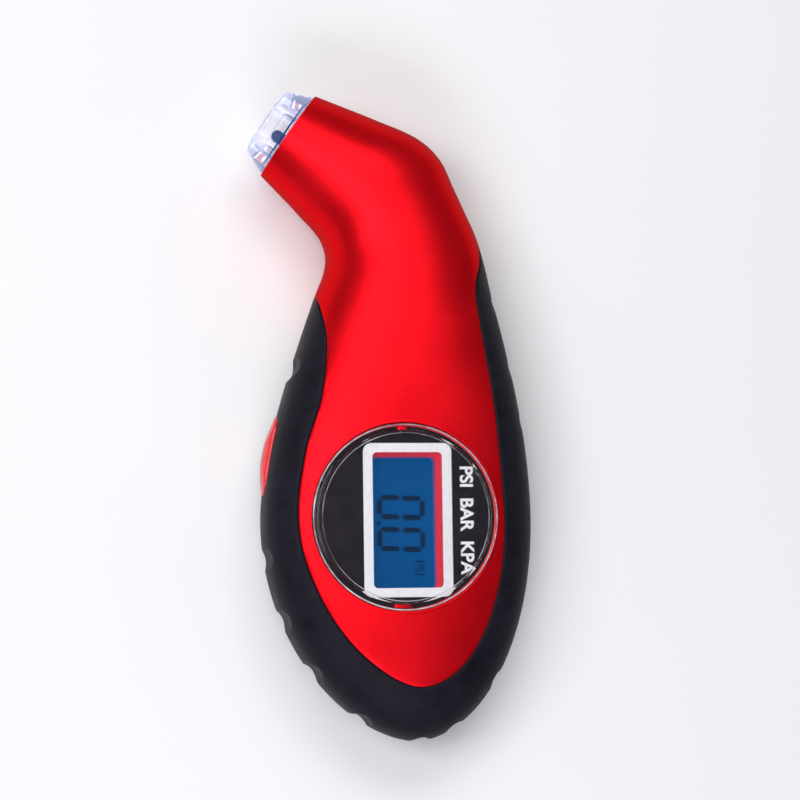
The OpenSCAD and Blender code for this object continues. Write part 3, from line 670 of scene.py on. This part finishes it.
rear = housing("rear_shell", -1)
DOOR_Y = 0.109 * BODY_LENGTH
DOOR_R, DOOR_DEPTH = 12.2, 1.85
cut(rear, cylinder_cutter("door_cutter", DOOR_R, -5, DOOR_DEPTH, 0, DOOR_Y))
SCREW_BORE_R, SCREW_SHAFT_R, SCREW_SEAT = 2.2, 1.15, 3.2
BOSS_R, BOSS_LOW, BOSS_TOP = 3.0, 1.0, PART_Z - 0.1
SCREWS = [(0.055 * HALF_W, -0.225 * BODY_LENGTH), (-0.46 * HALF_W, 0.262 * BODY_LENGTH),
          (0.43 * HALF_W, 0.262 * BODY_LENGTH), (0.235 * HALF_W, 0.543 * BODY_LENGTH)]
for x, y in SCREWS:
    cut(rear, cylinder_cutter("bore_cutter", SCREW_BORE_R, -5, 12, x, y, segs=64))
cut(rear, button_cutter())
sharpen(rear)
extras = []
for x, y in SCREWS:
    profile = [(SCREW_SHAFT_R, SCREW_SEAT), (SCREW_BORE_R, SCREW_SEAT), (SCREW_BORE_R, BOSS_LOW),
               (BOSS_R, BOSS_LOW + 0.6), (BOSS_R, BOSS_TOP), (SCREW_SHAFT_R, BOSS_TOP)]
    extras.append(lathe("screw_boss", profile + profile[:1], 48, Matrix.Translation((x, y, 0))))
finish_piece(join(rear, *extras), RED, stands_for=["rear_housing"])

# ---------------------------------------------------------------- rubber grip


GRIP_ANGLES = PANEL_ANGLES[PANEL_ANGLES > 0.30]


def grip_rays():
    """Places round the edge for the grip, close enough for its notches."""
    side = np.arange(1, (WIDEST - GRIP_FIRST) * 40 + 1) / 40
    fan = WIDEST + TURN * np.arange(1, 280) / 280
    right = WIDEST + TURN + np.arange(0, (GRIP_LAST - WIDEST - TURN) * 40) / 40
    return np.concatenate([[GRIP_FIRST + 0.012], GRIP_FIRST + side, fan, right, [GRIP_LAST - 0.012]])


def grip_profile(q):
    """Section of the grip: rounded rims and the side between them."""
    r = ray(q)
    n, reach = r[4], np.linalg.norm(r[1] - r[0])
    edge = grip_share(q)
    fade = min(1.0, (1 - edge) * reach / 1.6)
    out = []
    for side in (1, -1):
        t, d = [], []
        for inset, drop in ((0.10, 1.2), (0.10, 0.40), (0.14, 0.20), (0.24, 0.07), (0.42, 0.0)):
            t.append(min(angle_of(edge + inset * fade / reach, n), math.pi / 2))
            d.append(drop * fade)
        t += list(np.maximum(GRIP_ANGLES, t[-1]))
        d += [0.0] * len(GRIP_ANGLES)
        pts = skin(r, np.array(t), np.array(d), side)
        out.append(pts if side > 0 else pts[::-1][1:])
    return np.vstack(out)


def dimple(points, q):
    """Presses the thumb notch at ray q into the points."""
    m, p, *_ = ray(q)
    u = (p - m) / np.linalg.norm(p - m)
    centre = p + (NOTCH_R - NOTCH_DEPTH) * u
    rel = points[:, :2] - centre
    along = -(rel @ u)
    across = rel @ np.array([-u[1], u[0]])
    wall = np.sqrt(np.maximum(NOTCH_R ** 2 - across ** 2, 0))
    near = (np.abs(across) < NOTCH_R) & (along > 0) & (along < wall)
    push = np.where(near, wall - along, 0)
    out = points.copy()
    out[:, :2] -= push[:, None] * u[None, :]
    return out


GRIP_INSIDE = 6
GRIP_INSIDE_COLS = 2 * GRIP_INSIDE - 1


def make_grip():
    """Grip skin with its notches, closed by the face that sits on the housings."""
    rows = [grip_profile(q) for q in grip_rays()]
    cols = len(rows[0])
    pts = np.vstack(rows)
    for q in NOTCH_AT:
        pts = dimple(pts, q)
    inner = []
    for q in grip_rays():
        r = ray(q)
        e = angle_of(grip_share(q), r[4])
        fade = min(1.0, (1 - grip_share(q)) * 8)
        t = np.linspace(min(e + 0.02, math.pi / 2), math.pi / 2, GRIP_INSIDE)
        d = np.full(GRIP_INSIDE, (GRIP_T - 0.1) * fade)
        inner.append(np.vstack([skin(r, t, d, 1), skin(r, t, d, -1)[::-1][1:]]))
    outer_faces = grid_faces(len(rows), cols)
    base = len(pts)
    inner_pts = np.vstack(inner)
    inner_faces = [tuple(base + v for v in f) for f in grid_faces(len(inner), GRIP_INSIDE_COLS)]
    edges = []
    for i in range(len(rows) - 1):
        for a, b in ((0, 0), (cols - 1, GRIP_INSIDE_COLS - 1)):
            here, ahead = base + i * GRIP_INSIDE_COLS + b, base + (i + 1) * GRIP_INSIDE_COLS + b
            edges.append((i * cols + a, (i + 1) * cols + a, ahead, here))
    faces = outer_faces + inner_faces + edges
    return build_mesh("rubber_grip_skin", np.vstack([pts, inner_pts]), faces, 50)


grip = make_grip()
cut(grip, button_cutter())
sharpen(grip, 45)
finish_piece(grip, RUBBER, stands_for=["rubber_grip"])

# ---------------------------------------------------------------- display

def arc(cx, cz, r, start, end, n=6):
    """Points of an arc in a profile, in degrees from +X."""
    steps = np.radians(np.linspace(start, end, n))
    return [(cx + r * math.cos(a), cz + r * math.sin(a)) for a in steps]


lens = lathe("clear_lens", [
    (0, LENS_LOW), (LABEL_R + 0.05, LENS_LOW), (LABEL_R + 0.05, LENS_LOW - 0.28),
    (LENS_R - 0.1, LENS_LOW - 0.28), (LENS_R, LENS_LOW - 0.1),
    *arc(LENS_R - 0.5, LENS_TOP - 1.1, 0.5, 0, 90, 8),
    *arc(STEP_R + 0.85, LENS_TOP - 0.4, 0.2, 270, 200, 4),
    *arc(STEP_R + 0.2, LENS_TOP - 0.4, 0.4, 10, 90, 7),
    (0, LENS_TOP),
], 200, smooth_angle=28)
finish_piece(lens, LENS, stands_for=["display_lens"])


def glint_ring(name, radius, height, thick, wide=1.0):
    """Thin raised ring round the lens that carries a painted glint."""
    ring = [(radius + wide * thick * math.cos(a), height + thick * math.sin(a))
            for a in np.linspace(0, 2 * math.pi, 9)[:-1]]
    return lathe(name, ring + ring[:1], 240, smooth_angle=80)


# Two thin rings carry painted glints on the lens step and the lens edge.
finish_piece(glint_ring("lens_step_glint", STEP_R + 0.12, LENS_TOP - 0.07, 0.07), PAINTED_GLINT)
finish_piece(glint_ring("lens_edge_glint", LENS_R - 0.22, LENS_TOP - 0.74, 0.12, 1.3), PAINTED_GLINT)


TAB_INNER, TAB_OUTER = 17.25, 17.95


def snap_tab(name, angle, half):
    """Moulded tab that holds the lens flange, seen through it."""
    turns = np.radians(np.linspace(angle - half, angle + half, 8))
    outer = [(TAB_OUTER * math.cos(a), TAB_OUTER * math.sin(a)) for a in turns]
    inner = [(TAB_INNER * math.cos(a), TAB_INNER * math.sin(a)) for a in turns[::-1]]
    loop = np.array(outer + inner)
    mid = loop.mean(axis=0)
    shrunk = mid + (loop - mid) * 0.82
    return loft(name, [(loop, LABEL_TOP - 0.1), (loop, LABEL_TOP + 0.3), (shrunk, LABEL_TOP + 0.42)])


tabs = join(snap_tab("snap_tabs", 91, 3.2), snap_tab("tab", 268, 5.5))
finish_piece(tabs, RED)

hole, rim = arc_points(rounded_loop(WINDOW_W, WINDOW_L, 1.0, 16, *WINDOW), 360, LABEL_R)
label_faces = [(hole, LABEL_TOP - 0.25), (hole, LABEL_TOP), (rim, LABEL_TOP), (rim, LABEL_TOP - 0.25)]
label = loft("label_disc", label_faces, ring=True, smooth_angle=30)
finish_piece(label, LABEL, stands_for=["face_label"])


def flat_ring(name, outer, inner, z0, z1):
    return loft(name, [(inner, z0), (inner, z1), (outer, z1), (outer, z0)], ring=True, smooth_angle=30)


BORDER_Z = LABEL_TOP + 0.015
BORDER_W, BORDER_L, BORDER_CORNER = 17.7, 30.4, 1.7
border = flat_ring(
    "window_border",
    rounded_loop(BORDER_W, BORDER_L, BORDER_CORNER, 16, WINDOW[0] + 0.02, WINDOW[1]),
    rounded_loop(WINDOW_W, WINDOW_L, 0.9, 16, *WINDOW), LABEL_TOP - 0.02, BORDER_Z)
finish_piece(border, PRINT)

lcd_low, lcd_high = span("lcd_front_glass")
lcd_w, lcd_l = (lcd_high - lcd_low)[:2]
lcd_outline = rounded_loop(lcd_w, lcd_l, 0.2, 6, *((lcd_low + lcd_high) / 2)[:2])
lcd = loft("lcd_screen", [(lcd_outline, lcd_low[2]), (lcd_outline, LCD_TOP)])
finish_piece(lcd, LCD, stands_for=["lcd_front_glass"])

SEGMENT_Z = LCD_TOP + 0.03


def place_reading(points):
    """Reading frame: x runs down the display (-Y), y runs across it (+X)."""
    return np.array([(WINDOW[0] + y, WINDOW[1] - x) for x, y in points])


def bar(points):
    loop = place_reading(points)
    return loft("segment", [(loop, SEGMENT_Z - 0.02), (loop, SEGMENT_Z)])


def seven_segments(x, y, w, h, t, which, slant=0.0):
    """Bars of one digit; x, y is its lower left corner in the reading frame."""
    g = t * 0.16
    m = t / 2

    def horizontal(cy, inset=0.0):
        return [(g + inset, cy), (m + g + inset, cy + m), (w - m - g - inset, cy + m), (w - g - inset, cy),
                (w - m - g - inset, cy - m), (m + g + inset, cy - m)]

    def vertical(cx, y0, y1):
        return [(cx, y0 + g), (cx + m, y0 + m + g), (cx + m, y1 - m - g), (cx, y1 - g),
                (cx - m, y1 - m - g), (cx - m, y0 + m + g)]

    shapes = {
        "a": horizontal(h - m, m), "g": horizontal(h / 2, m), "d": horizontal(m, m),
        "f": vertical(m, h / 2, h - m), "b": vertical(w - m, h / 2, h - m),
        "e": vertical(m, m, h / 2), "c": vertical(w - m, m, h / 2),
    }
    bars = []
    for key in which:
        bars.append(bar([(x + px + slant * py, y + py) for px, py in shapes[key]]))
    return bars


digits = []
DIGIT_H, DIGIT_W, BAR_T = 9.7, 4.85, 1.05
for start in (-5.3, 1.05):
    digits += seven_segments(start, -5.55, DIGIT_W, DIGIT_H, BAR_T, "abcdef", slant=0.04)
digits.append(bar([(0.1, -5.55), (0.8, -5.55), (0.8, -4.85), (0.1, -4.85)]))
reading = join(*digits)
reading.name = "lcd_reading"
finish_piece(reading, SEGMENT)


def lettering(name, text, height, x, y, z, mat, bold=0.0):
    """Flat printed letters whose tops face +X and which read towards -Y."""
    curve = bpy.data.curves.new(name, "FONT")
    curve.body = text
    curve.size = height / 0.7 * MM
    curve.offset = bold * MM
    curve.extrude = 0.008 * MM
    curve.align_x = "CENTER"
    curve.align_y = "CENTER"
    obj = bpy.data.objects.new(name, curve)
    bpy.context.scene.collection.objects.link(obj)
    bpy.context.view_layer.update()
    mesh = bpy.data.meshes.new_from_object(obj.evaluated_get(bpy.context.evaluated_depsgraph_get()))
    bpy.data.objects.remove(obj)
    out = bpy.data.objects.new(name, mesh)
    bpy.context.scene.collection.objects.link(out)
    mesh.transform(Matrix.Translation((x * MM, y * MM, z * MM)) @ Matrix.Rotation(-math.pi / 2, 4, "Z"))
    out.data.materials.append(mat)
    return out


units = lettering("unit_names", "PSI  BAR  KPA", 2.5, 12.3, -0.6, LABEL_TOP + 0.012, PRINT, bold=0.10)
finish_piece(units, PRINT)
lcd_unit = lettering("lcd_unit", "PSI", 1.9, 3.4, -9.9, SEGMENT_Z, SEGMENT, bold=0.02)
finish_piece(lcd_unit, SEGMENT)

# ---------------------------------------------------------------- nozzle

BORE_R, FACE_R, BASE_R, SEAT_R = 4.25, 7.4, 9.4, 5.0
SPIGOT_R, SPIGOT_L, BORE_L = 8.25, 9.0, 5.6
nozzle = lathe("clear_nozzle", [
    (BORE_R, 0), (SEAT_R, 0), (SEAT_R, -SPIGOT_L), (SPIGOT_R, -SPIGOT_L), (SPIGOT_R, 0.12),
    (BASE_R - 0.1, 0.12), (BASE_R, 0.22), (BASE_R, 0.55), (BASE_R - 0.12, 0.8),
    (FACE_R + 0.12, BORE_L - 0.75), (FACE_R - 0.08, BORE_L - 0.4), (FACE_R - 0.35, BORE_L - 0.12),
    (FACE_R - 0.75, BORE_L), (BORE_R + 0.45, BORE_L), (BORE_R + 0.12, BORE_L - 0.1),
    (BORE_R, BORE_L - 0.4), (BORE_R, 0),
], 128, NOZZLE_AT, smooth_angle=30)
finish_piece(nozzle, NOZZLE, stands_for=["nozzle_tip"])
# Dark ring inside the nozzle base: a painted shadow line with a painted glow, not a real part.
painted_shadow_ring = lathe("nozzle_painted_shadow_ring", [
    (SPIGOT_R + 0.1, 0.45), (BASE_R - 0.35, 0.45), (BASE_R - 0.3, 0.62), (BASE_R - 0.4, 0.8),
    (SPIGOT_R + 0.1, 0.8), (SPIGOT_R + 0.1, 0.45),
], 128, NOZZLE_AT, smooth_angle=30)
finish_piece(painted_shadow_ring, NOZZLE_PAINTED_SHADOW)

# ---------------------------------------------------------------- button


def make_button():
    """Push button crowned along its length, with its flange and stem."""
    w, l, out = BUTTON_W, BUTTON_L, BUTTON_OUT
    crown_r = ((l / 2) ** 2 + out ** 2) / (2 * out)

    def crown(p, share):
        along = out - (crown_r - np.sqrt(crown_r ** 2 - p[:, 1] ** 2))
        return -np.maximum(along, 0.25) * (1 - share ** 3.2) ** (1 / 2.3)

    outline = rounded_loop(w, l, w / 2 - 0.02, 24)
    loops = [(outline, np.full(len(outline), 5.3))]
    for k in range(26):
        share = math.cos(math.pi / 2 * k / 26)
        p = outline * share
        loops.append((p, crown(p, share)))
    obj = loft("push_button", loops, smooth_angle=60)
    flange = loft("flange", [(rounded_loop(w + 2.2, l + 2.2, w / 2 + 1, 20), 5.2),
                             (rounded_loop(w + 2.2, l + 2.2, w / 2 + 1, 20), 6.2)])
    stem = lathe("stem", [(0, 6.0), (1.8, 6.0), (1.8, 7.7), (0, 7.7)], 48)
    join(obj, flange, stem)
    scale = Matrix.Scale(MM, 4)
    obj.data.transform(scale @ BUTTON_AT @ scale.inverted())
    return obj


finish_piece(make_button(), BUTTON, "button", ["power_button"])

# ---------------------------------------------------------------- CAD pieces that stay

KEPT = {
    "housing_screws": STEEL, "lcd_frame": WHITE_ABS, "lcd_rear_glass": GLASS, "zebra_strips": ZEBRA,
    "backlight_panel": GLOW, "main_board": BOARD, "board_screws": STEEL, "controller_chip": BLACK_ABS,
    "board_components": CERAMIC, "wire_connector": CREAM, "side_switch": BLACK_ABS,
    "switch_plunger": CREAM, "coin_cell": CELL, "battery_contact_positive": BRASS,
    "battery_contact_negative": BRASS, "battery_door": BLACK_ABS, "valve_seal": DARK_RUBBER,
    "depressor_pin": BRASS, "sensor_manifold": ZINC, "manifold_o_ring": DARK_RUBBER,
    "pressure_sensor": BLACK_ABS, "sensor_board": BOARD, "sensor_wires": WIRE_RED,
    "nozzle_leds": LED, "led_wires": WIRE_YELLOW,
}
for name, mat in KEPT.items():
    obj = nodes[name]
    obj.data.materials.clear()
    obj.data.materials.append(mat)

# ---------------------------------------------------------------- floor, lights, camera


def floor():
    mesh = bpy.data.meshes.new("floor")
    mesh.from_pydata([(-3, -3, 0), (3, -3, 0), (3, 3, 0), (-3, 3, 0)], [], [(0, 1, 2, 3)])
    obj = bpy.data.objects.new("floor", mesh)
    bpy.context.scene.collection.objects.link(obj)
    mat = surface("floor_white", (0.89, 0.89, 0.895), (0.92, 0.92, 0.92), (0.7, 0.8), scale=4)
    obj.data.materials.append(mat)
    obj.location.z = -0.0002


def area_light(name, location, target, size, power, size_y=None, colour=(1, 1, 1)):
    data = bpy.data.lights.new(name, "AREA")
    data.energy = power
    data.color = colour
    data.shape = "RECTANGLE"
    data.size = size
    data.size_y = size_y or size
    obj = bpy.data.objects.new(name, data)
    bpy.context.scene.collection.objects.link(obj)
    obj.location = location
    direction = Vector(target) - Vector(location)
    obj.rotation_mode = "QUATERNION"
    obj.rotation_quaternion = direction.to_track_quat("-Z", "Y")
    return obj


floor()
area_light("left_softbox", (-0.30, 0.06, 0.74), (0, 0.02, 0), 0.26, 3.1, 0.60)
area_light("top_softbox", (-0.02, 0.42, 0.68), (0, 0.02, 0), 0.50, 1.9, 0.26)
area_light("tail_softbox", (-0.16, -0.46, 0.50), (0, 0.0, 0.01), 0.40, 1.6, 0.20, (0.86, 0.88, 1.0))

world = bpy.data.worlds.new("studio")
bpy.context.scene.world = world
world.use_nodes = True
world.node_tree.nodes["Background"].inputs[0].default_value = (0.94, 0.95, 1.0, 1)
world.node_tree.nodes["Background"].inputs[1].default_value = 0.20

AIM = Vector((-0.112, 23.588, 22.398)) * MM
TILT_X, TILT_Y, ROLL = math.radians(9), math.radians(6), math.radians(0.8)
DISTANCE = 444.44 * MM
back = Vector((-math.tan(TILT_X), -math.tan(TILT_Y), 1)).normalized()
right = Vector((0, 1, 0)).cross(back).normalized()
up = back.cross(right)
turned = Matrix.Rotation(-ROLL, 3, back)
right, up = turned @ right, turned @ up
cam_data = bpy.data.cameras.new("camera")
cam_data.lens = 100
cam_data.sensor_width = 36
cam = bpy.data.objects.new("camera", cam_data)
bpy.context.scene.collection.objects.link(cam)
rotation = Matrix((right, up, back)).transposed()
cam.matrix_world = Matrix.Translation(AIM + back * DISTANCE) @ rotation.to_4x4()
bpy.context.scene.camera = cam
bpy.context.scene.view_settings.view_transform = "Standard"
